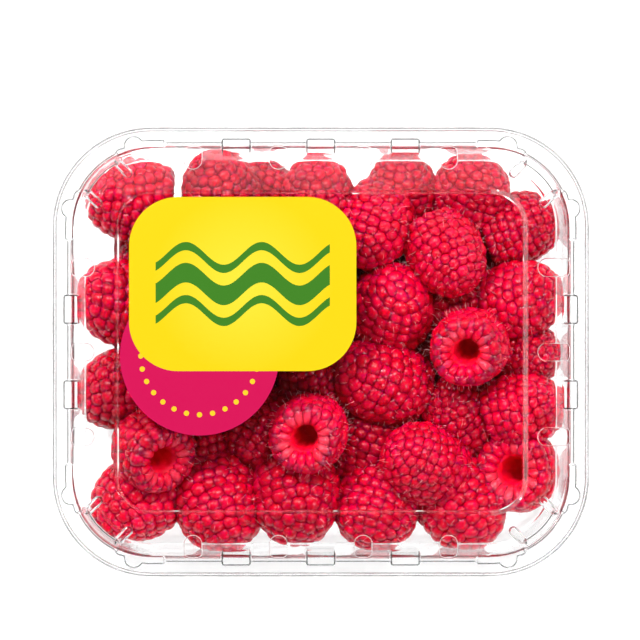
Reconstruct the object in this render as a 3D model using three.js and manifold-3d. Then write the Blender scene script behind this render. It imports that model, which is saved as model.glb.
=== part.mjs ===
// A shut punnet of raspberries: a clear tray, a clear lid clipped over its rim,
// a paper label on the lid, and the fruit. Millimetres, +Z up, length along X.
// The origin is at the centre of the pack, on the surface that it stands on.
import * as THREE from "three";
import { mergeVertices } from "three/addons/utils/BufferGeometryUtils.js";
import Module from "manifold-3d";

const wasm = await Module();
wasm.setup();

// The pack's outline, seen from above
const PACK_LENGTH = 143;
const PACK_WIDTH = 119.8;
const PACK_CORNER = 26.5;

// Heights and wall thickness
const FLANGE_TOP = 31.4;
const LID_RISE = 6.3;
const PANEL_RISE = 1;
const SHEET = 0.5;
const GAP = 0.3;

// The lid, as distances inwards from the outline
const SKIRT_DROP = 2.6;
const SKIRT_LEAN = 0.35;
const LID_WALL_FOOT = 4;
const CORNER_WALL_FOOT = 4.9;
const WALL_LEAN = 0.3;
const SHELF_WIDTH = 1;
const SHELF_RISE = 1.1;
const SLOPE_TOP = 9.3;
const PANEL_EDGE = 17.2;
const PANEL_STEP = 0.8;

// Box-shaped ribs on the lid's wall, and the flutes below them on the tray
const RIB_WIDTH = 7.5;
const RIB_FOOT = 3.1;
const RIB_RISE = 3.7;
const LONG_SIDE_RIBS = [-22.4, 0, 22.4];
const SHORT_SIDE_RIBS = [-11.3, 11.3];
const RIB_EDGE = 0.25;

// Rounded pads on both ends of each corner's bend, by their angle in degrees
const PAD_ANGLE = 13;
const PAD_HALF_ANGLE = 5.5;
const PAD_FOOT = 2.8;
const PAD_RISE = 2.1;
const EDGE_ANGLE = 0.4;

// The stacking lug on each corner: a raised arc with a finger at both ends
const LUG_ANGLE = 25;
const LUG_OUTSIDE = 7.2;
const LUG_INSIDE = 9.1;
const LUG_LEAN = 0.6;
const LUG_RISE = 1;
const FINGER_WIDTH = 1.8;
const FINGER_ROOT = 8.3;
const FINGER_TIP = 12.4;

// Air vents through the lid's slope, with a round inner end
const VENT_WIDTH = 5;
const VENT_START = 5.2;
const VENT_LENGTH = 6.4;
const END_VENT_LENGTH = { left: 6.6, right: 9 };
const LONG_SIDE_VENTS = [-33.8, -11.2, 11.2, 33.8];
const SHORT_SIDE_VENTS = [-22.4, 0, 22.4];

// The tray, as distances inwards from the outline
const TRAY_RIM = 0.9;
const TRAY_LIP = 1.6;
const TRAY_WALL_TOP = 5.7;
const TRAY_WALL_FOOT = 8.2;
const TRAY_FOOT_EDGE = 9.4;
const TRAY_FOOT_BEND = { inwards: 0.8, up: 1.2 };
const TRAY_FOOT_INSIDE = 17;
const TRAY_PANEL_RISE = 1.2;
const FLUTE_DEPTH = 0.9;
const FLUTE_FOOT = 4;
const FLUTE_TOP = 26;

// Degrees between the stations round a plain corner, and round the lid's
const CORNER_STEP = 22.5;
const LID_CORNER_STEP = 10;

// The label: a rounded rectangle with a round tab at its lower left corner
const LABEL_LENGTH = 60;
const LABEL_WIDTH = 46;
const LABEL_CORNER = 13;
const LABEL_CENTRE = [-20.6, 18];
const LABEL_SHEET = 0.3;
const TAB_RADIUS = 21;
const TAB_CENTRE = [-32, -1];

// The fruit
const BERRY_RADIUS = 10.3;
const BERRY_HEIGHT = 21;
const BERRY_HOLE = { radius: 3.9, depth: 13, lip: 1, narrowing: 0.6, narrowAt: 0.8 };
const BERRY_RINGS = [0, 0.2, 0.42, 0.66, 0.88];
const OPEN_END_WIDTH = 0.82;
const SHOULDER_AT = 0.38;
const TAPER_FROM = 0.3;
const TAPER_POWER = 2.6;
const BERRY_SIDES = 10;
const LOWER_BERRY_SIDES = 8;
const BERRY_BUMP = 0.45;

// How the fruit settles: how near two berries may press, how much of a push
// goes sideways, the pull back to a berry's own place, and the sinking
const CLOSENESS = 0.86;
const SIDEWAYS_SHARE = 0.5;
const HOME_PULL = 0.12;
const SINKING = 0.1;
const SETTLING_STEPS = 200;

// The block that joins the berries inside the heap
const CORE_HEIGHT = 12;
const CORE_LIFT = 4;
const CORE_MARGIN = 20;

const HALF_STRAIGHT_X = PACK_LENGTH / 2 - PACK_CORNER;
const HALF_STRAIGHT_Y = PACK_WIDTH / 2 - PACK_CORNER;
const TRAY_TOP = FLANGE_TOP - SHEET - GAP;
const FLOOR_TOP = TRAY_PANEL_RISE + SHEET;
const PANEL_TOP = FLANGE_TOP + LID_RISE + PANEL_RISE;

const radians = THREE.MathUtils.degToRad;

// A solid of manifold-3d from a closed geometry, and back again
function solidOf(geometry) {
  const bare = geometry.clone();
  bare.deleteAttribute("normal");
  bare.deleteAttribute("uv");
  const merged = mergeVertices(bare, 1e-4);
  const mesh = new wasm.Mesh({
    numProp: 3,
    vertProperties: new Float32Array(merged.attributes.position.array),
    triVerts: new Uint32Array(merged.index.array),
  });
  return new wasm.Manifold(mesh);
}

function geometryOf(solid) {
  const { vertProperties, triVerts } = solid.getMesh();
  return geometryFrom(vertProperties, triVerts);
}

function geometryFrom(positions, indices) {
  const geometry = new THREE.BufferGeometry();
  geometry.setAttribute("position", new THREE.BufferAttribute(new Float32Array(positions), 3));
  geometry.setIndex(new THREE.BufferAttribute(new Uint32Array(indices), 1));
  geometry.computeVertexNormals();
  return geometry;
}

function signedVolume(positions, indices) {
  const corner = (i) => new THREE.Vector3().fromArray(positions, 3 * i);
  let six = 0;
  for (let t = 0; t < indices.length; t += 3) {
    const [a, b, c] = [corner(indices[t]), corner(indices[t + 1]), corner(indices[t + 2])];
    six += a.dot(b.cross(c));
  }
  return six / 6;
}

// A closed solid from rings of points, each shut at its end by a fan of triangles
function loft(rings, firstCentre, lastCentre) {
  const count = rings[0].length;
  const points = [...rings.flat(), firstCentre, lastCentre];
  const first = rings.length * count;
  const indices = [];
  for (let i = 0; i < count; i++) {
    const next = (i + 1) % count;
    for (let k = 0; k + 1 < rings.length; k++) {
      const [a, b] = [k * count + i, k * count + next];
      const [c, d] = [a + count, b + count];
      indices.push(a, b, d, a, d, c);
    }
    const end = (rings.length - 1) * count;
    indices.push(first, next, i, first + 1, end + i, end + next);
  }
  const positions = points.flatMap((p) => [p.x, p.y, p.z]);
  if (signedVolume(positions, indices) < 0) {
    indices.reverse();
  }
  return geometryFrom(positions, indices);
}

// Stations round the pack: a point on the inner rectangle that the corners
// turn about, the way out from there, and where the station is on its side
function stations(longStops, shortStops, cornerStops) {
  const list = [];
  const sides = [
    { turn: 0, half: HALF_STRAIGHT_Y, other: HALF_STRAIGHT_X, stops: shortStops, long: false },
    { turn: 90, half: HALF_STRAIGHT_X, other: HALF_STRAIGHT_Y, stops: longStops, long: true },
    { turn: 180, half: HALF_STRAIGHT_Y, other: HALF_STRAIGHT_X, stops: shortStops, long: false },
    { turn: 270, half: HALF_STRAIGHT_X, other: HALF_STRAIGHT_Y, stops: longStops, long: true },
  ];
  for (const { turn, half, other, stops, long } of sides) {
    const out = new THREE.Vector2(Math.cos(radians(turn)), Math.sin(radians(turn)));
    const along = new THREE.Vector2(-out.y, out.x);
    for (const place of stops.filter((stop) => Math.abs(stop) < half - 1)) {
      const base = out.clone().multiplyScalar(other).addScaledVector(along, place);
      list.push({ base, out, place, long });
    }
    const base = out.clone().multiplyScalar(other).addScaledVector(along, half);
    for (const angle of cornerStops) {
      const way = out.clone().rotateAround(new THREE.Vector2(), radians(angle));
      list.push({ base, out: way, angle });
    }
  }
  return list;
}

function ribStops(centres) {
  const half = RIB_WIDTH / 2;
  const offsets = [-half - RIB_EDGE, -half + RIB_EDGE, half - RIB_EDGE, half + RIB_EDGE];
  return centres.flatMap((centre) => offsets.map((offset) => centre + offset));
}

function isRib({ place, long }) {
  const centres = long ? LONG_SIDE_RIBS : SHORT_SIDE_RIBS;
  return place !== undefined && centres.some((centre) => Math.abs(place - centre) < RIB_WIDTH / 2);
}

function angleFromEnd({ angle }) {
  return Math.min(angle, 90 - angle);
}

// A point at a distance in from the outline, at one station
function pointAt(station, inset, z) {
  const reach = PACK_CORNER - inset;
  return new THREE.Vector3(
    station.base.x + station.out.x * reach,
    station.base.y + station.out.y * reach,
    z,
  );
}

// A profile moved by the sheet's thickness to its right, with mitred bends
function offsetProfile(profile) {
  const vectors = profile.map(([inset, z]) => new THREE.Vector2(inset, z));
  return vectors.map((point, i) => {
    const before = vectors[Math.max(i - 1, 0)];
    const after = vectors[Math.min(i + 1, vectors.length - 1)];
    const arriving = (i > 0 ? point.clone().sub(before) : after.clone().sub(point)).normalize();
    const leaving = (i + 1 < vectors.length ? after.clone().sub(point) : arriving.clone()).normalize();
    const normal = new THREE.Vector2(arriving.y + leaving.y, -arriving.x - leaving.x).normalize();
    const mitre = Math.max(normal.dot(new THREE.Vector2(leaving.y, -leaving.x)), 0.5);
    return [point.x + (normal.x * SHEET) / mitre, point.y + (normal.y * SHEET) / mitre];
  });
}

// A loft through the same steps of a profile at every station
function profileLoft(places, steps) {
  const rings = steps[0].map((_, k) => places.map((station, i) => pointAt(station, ...steps[i][k])));
  const first = new THREE.Vector3(0, 0, rings[0][0].z);
  const last = new THREE.Vector3(0, 0, rings.at(-1)[0].z);
  return loft(rings, first, last);
}

// A sheet of plastic whose upper face follows a profile at every station, and
// whose lower face follows the same profile, or a plainer one
function sheetSolid(places, upperAt, lowerAt) {
  const steps = places.map((station) => [
    ...upperAt(station).toReversed(),
    ...offsetProfile(lowerAt(station)),
  ]);
  return profileLoft(places, steps);
}

// The lid's face, from the skirt's lower edge in to the middle panel
function lidProfile(station, withLug) {
  const corner = station.angle !== undefined;
  const pad = corner && Math.abs(angleFromEnd(station) - PAD_ANGLE) < PAD_HALF_ANGLE;
  const lug = corner && angleFromEnd(station) > LUG_ANGLE;
  const rib = isRib(station);
  const plainFoot = corner ? CORNER_WALL_FOOT : LID_WALL_FOOT;
  const foot = rib ? RIB_FOOT : pad ? PAD_FOOT : plainFoot;
  const rise = rib ? RIB_RISE : pad ? PAD_RISE : SHELF_RISE;
  const slopeFoot = plainFoot + SHELF_WIDTH;
  const slope = (LID_RISE - SHELF_RISE) / (SLOPE_TOP - slopeFoot);
  const slopeRise = (inset) => Math.max(rise, SHELF_RISE + (inset - slopeFoot) * slope);
  const shelfEnd = slopeFoot + (rise - SHELF_RISE) / slope;
  const lugStep = (inset) => [inset, FLANGE_TOP + (lug ? LID_RISE + LUG_RISE : slopeRise(inset))];
  return [
    [0, FLANGE_TOP - SKIRT_DROP],
    [SKIRT_LEAN, FLANGE_TOP],
    [foot, FLANGE_TOP],
    [foot + WALL_LEAN, FLANGE_TOP + rise],
    [Math.min(shelfEnd, LUG_OUTSIDE), FLANGE_TOP + rise],
    ...(withLug ? [lugStep(LUG_OUTSIDE + LUG_LEAN), lugStep(LUG_INSIDE)] : []),
    [SLOPE_TOP + WALL_LEAN, FLANGE_TOP + LID_RISE],
    [PANEL_EDGE, FLANGE_TOP + LID_RISE],
    [PANEL_EDGE + PANEL_STEP, PANEL_TOP],
  ];
}

// A vertical cutter with a round inner end, for one vent at a side's outline
function ventCutter(halfPack, place, turn, length) {
  const round = VENT_WIDTH / 2;
  const start = halfPack - VENT_START;
  const shape = new THREE.Shape();
  shape.moveTo(start, -round);
  shape.lineTo(start, round);
  shape.lineTo(start - length + round, round);
  shape.absarc(start - length + round, 0, round, Math.PI / 2, (3 * Math.PI) / 2, false);
  const cutter = new THREE.ExtrudeGeometry(shape, {
    depth: 2 * LID_RISE,
    bevelEnabled: false,
    curveSegments: 4,
  });
  cutter.translate(0, place, FLANGE_TOP + GAP);
  cutter.rotateZ(radians(turn));
  return solidOf(cutter);
}

function ventCutters() {
  const long = LONG_SIDE_VENTS.flatMap((place) => [
    ventCutter(PACK_WIDTH / 2, place, 90, VENT_LENGTH),
    ventCutter(PACK_WIDTH / 2, place, 270, VENT_LENGTH),
  ]);
  const short = SHORT_SIDE_VENTS.flatMap((place) => [
    ventCutter(PACK_LENGTH / 2, place, 0, END_VENT_LENGTH.right),
    ventCutter(PACK_LENGTH / 2, place, 180, END_VENT_LENGTH.left),
  ]);
  return [...long, ...short];
}

// The two fingers of each corner lug, parallel to the corner's diagonal
function lugFingers() {
  const outer = PACK_CORNER - FINGER_ROOT;
  const inner = PACK_CORNER - FINGER_TIP;
  const middle = (outer + inner) / 2;
  const bottom = FLANGE_TOP + LID_RISE - SHEET / 2;
  const height = LUG_RISE + SHEET / 2;
  const fingers = [];
  for (const [signX, signY] of [[1, 1], [-1, 1], [-1, -1], [1, -1]]) {
    const diagonal = Math.atan2(signY, signX);
    for (const lean of [-1, 1]) {
      const spread = lean * radians(45 - LUG_ANGLE);
      const finger = new THREE.BoxGeometry(outer - inner, FINGER_WIDTH, height);
      finger.translate(middle * Math.cos(spread), middle * Math.sin(spread), 0);
      finger.rotateZ(diagonal);
      finger.translate(signX * HALF_STRAIGHT_X, signY * HALF_STRAIGHT_Y, bottom + height / 2);
      fingers.push(solidOf(finger));
    }
  }
  return fingers;
}

// Stations on both sides of each edge of the pads and the lug, and between them
function lidCornerStops() {
  const edges = [PAD_ANGLE - PAD_HALF_ANGLE, PAD_ANGLE + PAD_HALF_ANGLE, LUG_ANGLE];
  const both = edges.flatMap((edge) => [edge - EDGE_ANGLE, edge + EDGE_ANGLE]);
  const half = [0, ...both, LUG_ANGLE + LID_CORNER_STEP];
  return [...half, 45, ...half.toReversed().map((angle) => 90 - angle)];
}

function lidGeometry() {
  const places = stations(ribStops(LONG_SIDE_RIBS), ribStops(SHORT_SIDE_RIBS), lidCornerStops());
  const sheet = sheetSolid(
    places,
    (station) => lidProfile(station, true),
    (station) => lidProfile(station, false),
  );
  let lid = solidOf(sheet);
  for (const finger of lugFingers()) {
    lid = lid.add(finger);
  }
  for (const cutter of ventCutters()) {
    lid = lid.subtract(cutter);
  }
  return geometryOf(lid);
}

// The tray's inner wall leans out from its foot to its rim
function trayWallInset(z) {
  return THREE.MathUtils.mapLinear(z, 0, TRAY_TOP, TRAY_WALL_FOOT, TRAY_WALL_TOP);
}

// The tray's inner face, from its rim's lower edge in and down to the floor
function trayProfile(station) {
  const flute = isRib(station) ? FLUTE_DEPTH : 0;
  return [
    [TRAY_RIM, TRAY_TOP - TRAY_LIP],
    [TRAY_RIM, TRAY_TOP],
    [TRAY_WALL_TOP, TRAY_TOP],
    [trayWallInset(FLUTE_TOP) - flute, FLUTE_TOP],
    [trayWallInset(FLUTE_FOOT) - flute, FLUTE_FOOT],
    [TRAY_FOOT_EDGE - TRAY_FOOT_BEND.inwards, SHEET + TRAY_FOOT_BEND.up],
    [TRAY_FOOT_EDGE, SHEET],
    [TRAY_FOOT_INSIDE, SHEET],
    [TRAY_FOOT_INSIDE + PANEL_STEP, FLOOR_TOP],
  ];
}

function plainCornerStops() {
  return Array.from({ length: 90 / CORNER_STEP + 1 }, (_, i) => i * CORNER_STEP);
}

function trayGeometry() {
  const places = stations(ribStops(LONG_SIDE_RIBS), ribStops(SHORT_SIDE_RIBS), plainCornerStops());
  return sheetSolid(places, trayProfile, trayProfile);
}

function labelGeometry() {
  const [x, y] = [LABEL_LENGTH / 2, LABEL_WIDTH / 2];
  const card = new THREE.Shape();
  card.moveTo(-x + LABEL_CORNER, -y);
  card.absarc(x - LABEL_CORNER, -y + LABEL_CORNER, LABEL_CORNER, -Math.PI / 2, 0);
  card.absarc(x - LABEL_CORNER, y - LABEL_CORNER, LABEL_CORNER, 0, Math.PI / 2);
  card.absarc(-x + LABEL_CORNER, y - LABEL_CORNER, LABEL_CORNER, Math.PI / 2, Math.PI);
  card.absarc(-x + LABEL_CORNER, -y + LABEL_CORNER, LABEL_CORNER, Math.PI, (3 * Math.PI) / 2);
  const sheet = { depth: LABEL_SHEET, bevelEnabled: false, curveSegments: 5 };
  const cardSheet = new THREE.ExtrudeGeometry(card, sheet);
  cardSheet.translate(...LABEL_CENTRE, PANEL_TOP + GAP);
  const tab = new THREE.CylinderGeometry(TAB_RADIUS, TAB_RADIUS, LABEL_SHEET, 30);
  tab.rotateX(Math.PI / 2);
  tab.translate(...TAB_CENTRE, PANEL_TOP + GAP + LABEL_SHEET / 2);
  return geometryOf(solidOf(cardSheet).add(solidOf(tab)));
}

// Where each berry lies: its middle in X and Y, how high its middle lies before
// the heap settles, the heading of its tip, the tip's lean up, and its size
const LOW = 12.5;
const MID = 17;
const HIGH = 25;
const EDGE_BERRIES = [
  [-49.1, 41.9, LOW, 175, 5, 1.1], [-26.7, 43.3, MID, 110, 35, 1], [-15.5, 41.5, LOW, 60, 20, 0.98],
  [-1.1, 41.4, MID, 100, 35, 0.98], [21.7, 43.9, LOW, 90, 30, 1], [40.6, 44.4, LOW, 60, 35, 1.02],
  [55, 33.9, LOW, 20, 10, 1], [53.9, 14.4, MID, 10, 20, 1.02], [57.2, -0.6, LOW, 350, 45, 0.9],
  [55.4, -16.2, MID, 15, 15, 1.02], [53.4, -30.6, LOW, 345, -50, 1.08], [37.8, -42.8, LOW, 290, 25, 1.08],
  [15.8, -42, LOW, 250, 30, 1], [-6.7, -39.5, LOW, 280, 40, 1.12], [-27.2, -40.6, LOW, 290, 25, 1.12],
  [-50.4, -39.2, LOW, 215, 20, 1.06], [-54.1, -10.6, LOW, 190, 25, 1.08], [-53.4, 13.3, LOW, 170, 30, 1.08],
];
const LOWER_BERRIES = [
  [-46.1, 28.3, LOW, 120, 10, 0.98], [-26.7, 27.4, LOW, 60, 15, 1], [-7.8, 25.4, LOW, 20, 20, 1],
  [-37.8, 10.5, LOW, 210, 15, 1], [-18.9, 9.5, LOW, 330, 10, 1], [-1.1, 11.7, LOW, 300, 30, 1],
  [-37.8, -6.7, LOW, 100, 15, 1], [-20, -5.2, LOW, 40, 10, 1], [-32.5, -24, LOW, 100, 10, 0.98],
  [-0.5, -6.2, MID, 130, 40, 1.02], [-16.7, -20, MID, 230, 30, 1.02], [12.8, -24.2, LOW, 70, 20, 0.98],
  [36.5, -16.7, MID, 120, 35, 1.04], [35, 11.8, LOW, 200, 15, 1],
];
const UPPER_BERRIES = [
  [13.3, 32.7, HIGH, 240, 25, 1.04], [34.3, 25, HIGH, 300, 20, 1.06], [19.5, 13.3, HIGH, 60, 60, 1.1],
  [39.7, 2.4, HIGH, 60, -78, 1.04], [17.8, -6.7, HIGH, 160, 35, 1.12], [-3, -21.5, HIGH, 30, -80, 1.06],
  [26.7, -29.3, HIGH, 150, 35, 1.08], [-47, -26.2, HIGH, 135, -55, 1.06],
];
const BERRIES = [
  ...EDGE_BERRIES.map((row) => [...row, BERRY_SIDES]),
  ...LOWER_BERRIES.map((row) => [...row, LOWER_BERRY_SIDES]),
  ...UPPER_BERRIES.map((row) => [...row, BERRY_SIDES]),
];

// A berry's half-width at a share of its height, from its open end to its tip
function berryWidth(share) {
  const widening = Math.sin((Math.min(share / SHOULDER_AT, 1) * Math.PI) / 2);
  const shoulder = OPEN_END_WIDTH + (1 - OPEN_END_WIDTH) * widening;
  const past = Math.max(share - TAPER_FROM, 0) / (1 - TAPER_FROM);
  return BERRY_RADIUS * shoulder * Math.sqrt(1 - Math.pow(past, TAPER_POWER));
}

// One berry about its own middle, its tip up: coarse bumps for its drupelets,
// and the hollow that the core left at its open end
function berryGeometry(scale, sides, hollow) {
  const ring = (radius, z, bump) => Array.from({ length: sides }, (_, i) => {
    const angle = (i / sides) * 2 * Math.PI;
    const reach = radius + bump * (i % 2 ? 1 : -1);
    return new THREE.Vector3(reach * Math.cos(angle), reach * Math.sin(angle), z);
  });
  const rings = BERRY_RINGS.map((share, k) => ring(
    berryWidth(share), (share - 0.5) * BERRY_HEIGHT, BERRY_BUMP * (k % 2 ? 1 : -1),
  ));
  const bottom = -0.5 * BERRY_HEIGHT;
  const { radius, depth, lip, narrowing, narrowAt } = BERRY_HOLE;
  if (hollow) {
    rings.unshift(ring(radius, bottom + lip, 0));
    rings.unshift(ring(radius * narrowing, bottom + depth * narrowAt, 0));
  }
  const centre = new THREE.Vector3(0, 0, hollow ? bottom + depth : bottom);
  const berry = loft(rings, centre, new THREE.Vector3(0, 0, BERRY_HEIGHT / 2));
  berry.scale(scale, scale, scale);
  return berry;
}

// How far a point lies inside the pack's outline
function insetOf(x, y) {
  const [qx, qy] = [Math.abs(x) - HALF_STRAIGHT_X, Math.abs(y) - HALF_STRAIGHT_Y];
  const beyond = Math.hypot(Math.max(qx, 0), Math.max(qy, 0));
  return PACK_CORNER - beyond - Math.min(Math.max(qx, qy), 0);
}

// How far the rim of a berry's open end reaches down from its middle
function openEndReach(lean) {
  const [cosine, sine] = [Math.cos(radians(lean)), Math.sin(radians(lean))];
  return berryWidth(0) * cosine + (BERRY_HEIGHT / 2) * sine;
}

// The berries pushed apart until they only press on each other a little,
// each kept near its own place, on the floor and inside the tray
function settledBerries() {
  const berries = BERRIES.map(([x, y, z, heading, lean, scale, sides]) => ({
    x, y, z, homeX: x, homeY: y, heading, lean, scale, sides,
    radius: BERRY_RADIUS * scale,
    below: scale * Math.max(BERRY_RADIUS, openEndReach(lean)),
    above: scale * Math.max(BERRY_RADIUS, openEndReach(-lean)),
  }));
  const lowest = FLOOR_TOP + GAP;
  const highest = FLANGE_TOP + LID_RISE - SHEET - 2 * GAP;
  for (let step = 0; step < SETTLING_STEPS; step++) {
    berries.forEach((one, i) => {
      for (const other of berries.slice(i + 1)) {
        const reach = CLOSENESS * (one.radius + other.radius);
        const [dx, dy, dz] = [other.x - one.x, other.y - one.y, other.z - one.z];
        const apart = Math.hypot(dx, dy, dz);
        const push = Math.max(reach - apart, 0) / apart / 2;
        one.x -= dx * push * SIDEWAYS_SHARE;
        one.y -= dy * push * SIDEWAYS_SHARE;
        one.z -= dz * push;
        other.x += dx * push * SIDEWAYS_SHARE;
        other.y += dy * push * SIDEWAYS_SHARE;
        other.z += dz * push;
      }
    });
    for (const berry of berries) {
      berry.x += (berry.homeX - berry.x) * HOME_PULL;
      berry.y += (berry.homeY - berry.y) * HOME_PULL;
      const wall = trayWallInset(berry.z) + GAP + berry.radius;
      const short = Math.max(wall - insetOf(berry.x, berry.y), 0);
      berry.x -= Math.abs(berry.x) > HALF_STRAIGHT_X ? Math.sign(berry.x) * short : 0;
      berry.y -= Math.abs(berry.y) > HALF_STRAIGHT_Y ? Math.sign(berry.y) * short : 0;
      const [low, high] = [lowest + berry.below, highest - berry.above];
      berry.z = THREE.MathUtils.clamp(berry.z - SINKING, low, high);
    }
  }
  return berries;
}

function placedBerry({ x, y, z, heading, lean, scale, sides }) {
  const berry = berryGeometry(scale, sides, lean < 0);
  berry.rotateY(radians(90 - lean));
  berry.rotateZ(radians(heading));
  berry.translate(x, y, z);
  return solidOf(berry);
}

// The largest closed shell of a solid, so a sealed hollow or a scrap is dropped
function largestShell(solid) {
  const { vertProperties, triVerts } = solid.getMesh();
  const parent = Array.from({ length: vertProperties.length / 3 }, (_, i) => i);
  const root = (i) => {
    while (parent[i] !== i) {
      parent[i] = parent[parent[i]];
      i = parent[i];
    }
    return i;
  };
  for (let t = 0; t < triVerts.length; t += 3) {
    parent[root(triVerts[t])] = root(triVerts[t + 1]);
    parent[root(triVerts[t + 1])] = root(triVerts[t + 2]);
  }
  const shells = new Map();
  for (let t = 0; t < triVerts.length; t += 3) {
    const key = root(triVerts[t]);
    shells.set(key, [...(shells.get(key) ?? []), ...triVerts.slice(t, t + 3)]);
  }
  const volume = (indices) => signedVolume(vertProperties, indices);
  const largest = [...shells.values()].reduce((a, b) => (volume(a) > volume(b) ? a : b));
  const bare = geometryFrom(vertProperties, largest).toNonIndexed();
  bare.deleteAttribute("normal");
  return mergeVertices(bare, 1e-5);
}

// The room inside the shut pack, a little clear of the plastic
function insideRoom() {
  const places = stations([], [], plainCornerStops());
  const clear = SHEET + GAP;
  const footTop = TRAY_FOOT_BEND.up * 4;
  const steps = [
    [TRAY_FOOT_EDGE + 2 * clear, FLOOR_TOP + GAP],
    [trayWallInset(footTop) + GAP, footTop],
    [trayWallInset(TRAY_TOP) + GAP, TRAY_TOP],
    [CORNER_WALL_FOOT + SHELF_WIDTH + 2 * clear, FLANGE_TOP - SHEET],
    [SLOPE_TOP + 2 * clear, FLANGE_TOP + LID_RISE - clear],
  ];
  return solidOf(profileLoft(places, places.map(() => steps)));
}

function heapGeometry() {
  const core = new THREE.BoxGeometry(
    PACK_LENGTH - 2 * CORE_MARGIN,
    PACK_WIDTH - 2 * CORE_MARGIN,
    CORE_HEIGHT,
  );
  core.translate(0, 0, FLOOR_TOP + CORE_LIFT + CORE_HEIGHT / 2);
  let heap = solidOf(core);
  for (const berry of settledBerries()) {
    heap = heap.add(placedBerry(berry));
  }
  return largestShell(heap.intersect(insideRoom()));
}

// Finishes
const clearPlastic = new THREE.MeshStandardMaterial({
  color: 0xf2f4f5, roughness: 0.08, metalness: 0, transparent: true, opacity: 0.3,
});
const printedPaper = new THREE.MeshStandardMaterial({ color: 0xfad40e, roughness: 0.55, metalness: 0 });
const fruit = new THREE.MeshStandardMaterial({ color: 0xc4102f, roughness: 0.4, metalness: 0 });

function piece(name, geometry, material) {
  const mesh = new THREE.Mesh(geometry, material);
  mesh.name = name;
  return mesh;
}

const punnet = new THREE.Group();
punnet.add(piece("tray", trayGeometry(), clearPlastic));
punnet.add(piece("lid", lidGeometry(), clearPlastic));
punnet.add(piece("label", labelGeometry(), printedPaper));
punnet.add(piece("raspberries", heapGeometry(), fruit));

export default punnet;
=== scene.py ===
# A shut clear punnet of raspberries, seen from straight above: single berries built
# from drupelets in a clear tray, under a clear ribbed lid with a paper label.
# Sizes are in millimetres, and each mesh is scaled to metres as it is made.
import math

import bpy
import numpy as np
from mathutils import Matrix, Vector, noise as cell_noise


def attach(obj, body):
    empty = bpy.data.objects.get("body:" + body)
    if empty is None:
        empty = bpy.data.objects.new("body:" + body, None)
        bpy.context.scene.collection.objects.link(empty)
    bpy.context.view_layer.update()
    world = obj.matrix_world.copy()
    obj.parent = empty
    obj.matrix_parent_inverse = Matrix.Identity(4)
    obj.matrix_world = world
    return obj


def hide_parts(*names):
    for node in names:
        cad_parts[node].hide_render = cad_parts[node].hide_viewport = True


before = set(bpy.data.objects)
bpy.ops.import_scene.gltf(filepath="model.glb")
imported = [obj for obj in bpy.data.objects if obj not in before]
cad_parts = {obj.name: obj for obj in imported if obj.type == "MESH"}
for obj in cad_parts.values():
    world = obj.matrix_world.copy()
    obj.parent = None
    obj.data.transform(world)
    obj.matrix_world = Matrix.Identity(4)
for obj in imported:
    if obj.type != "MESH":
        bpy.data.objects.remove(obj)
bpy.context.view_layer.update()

MM = 0.001
SEED = 20

# The pack's outline, seen from above
PACK_LENGTH = 143
PACK_WIDTH = 119.8
PACK_CORNER = 26.5

# Heights and wall thickness
FLANGE_TOP = 31.4
LID_RISE = 6.3
PANEL_RISE = 1
SHEET = 0.5
GAP = 0.3
FILM = 0.32

# The lid, as distances inwards from the outline, rises, and the radii of its bends
SKIRT_DROP = 2.6
SKIRT_LEAN = 0.5
LID_WALL_FOOT = 4
CORNER_WALL_FOOT = 4.8
CORNER_BLEND = 1.5
WALL_LEAN = 0.3
SHELF_WIDTH = 1
SHELF_RISE = 1.1
SLOPE_TOP = 9.3
PANEL_EDGE = 17.2
PANEL_STEP = 0.8
LID_BENDS = (0.8, 0.5, 0.5, 0.5, 0.4, 0.5, 0.5, 0.4, 0.5, 0.5, 0.2)
BEND_STEPS = 3
MIST_GAP = 0.1

# Box-shaped ribs on the lid's wall, and the flutes below them on the tray
RIB_WIDTH = 8
RIB_FOOT = 3.1
RIB_RISE = 3.7
RIB_BLEND = 0.5
RIB_ROUND = 0.9
LONG_SIDE_RIBS = (-22.4, 0, 22.4)
SHORT_SIDE_RIBS = (-11.3, 11.3)

# The raised pad at both ends of each corner, by its way along the corner's wall
# from where the bend starts: a ledge, a round bulge and a small lobe
PAD_RISE = 2.1
PAD_START = -3.7
PAD_END = 10.3
LEDGE_FOOT = 3.45
BULGE = {"centre": 4.8, "half": 2.8, "foot": 1.9}
LOBE = {"centre": 8.9, "half": 1.5, "foot": 4.1}
PAD_BLEND = 0.7
CORNER_WALL_RADIUS = 22.5

# The stacking lug on each corner: a raised arc with a finger at both ends
LUG_ANGLE = 25
LUG_OUTSIDE = 7.2
LUG_INSIDE = 10.5
LUG_LEAN = 0.6
LUG_RISE = 1
LUG_BLEND = 0.8
FINGER_WIDTH = 2.5
FINGER_ROOT = 7.4
FINGER_TIP = 12.8
FINGER_ROUND = 0.9
FINGER_DEPTH = 1

# Air vents through the lid's slope, with a round inner end; at the ends by heading
VENT_WIDTH = 5
VENT_START = 5.2
VENT_LENGTH = 6.4
VENT_OUTER_ROUND = 1.6
END_VENT_LENGTHS = {0: 9, 180: 6.6}
LONG_SIDE_VENTS = (-33.8, -11.2, 11.2, 33.8)
SHORT_SIDE_VENTS = (-22.4, 0, 22.4)

# The sheet's cut edges, rolled a little: the radii of their round sections
VENT_ROLL = 0.14
RIM_ROLL = 0.26
TRAY_ROLL = 0.2
ROLL_SIDES = 8
VENT_ROLL_STEPS = 56

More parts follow.
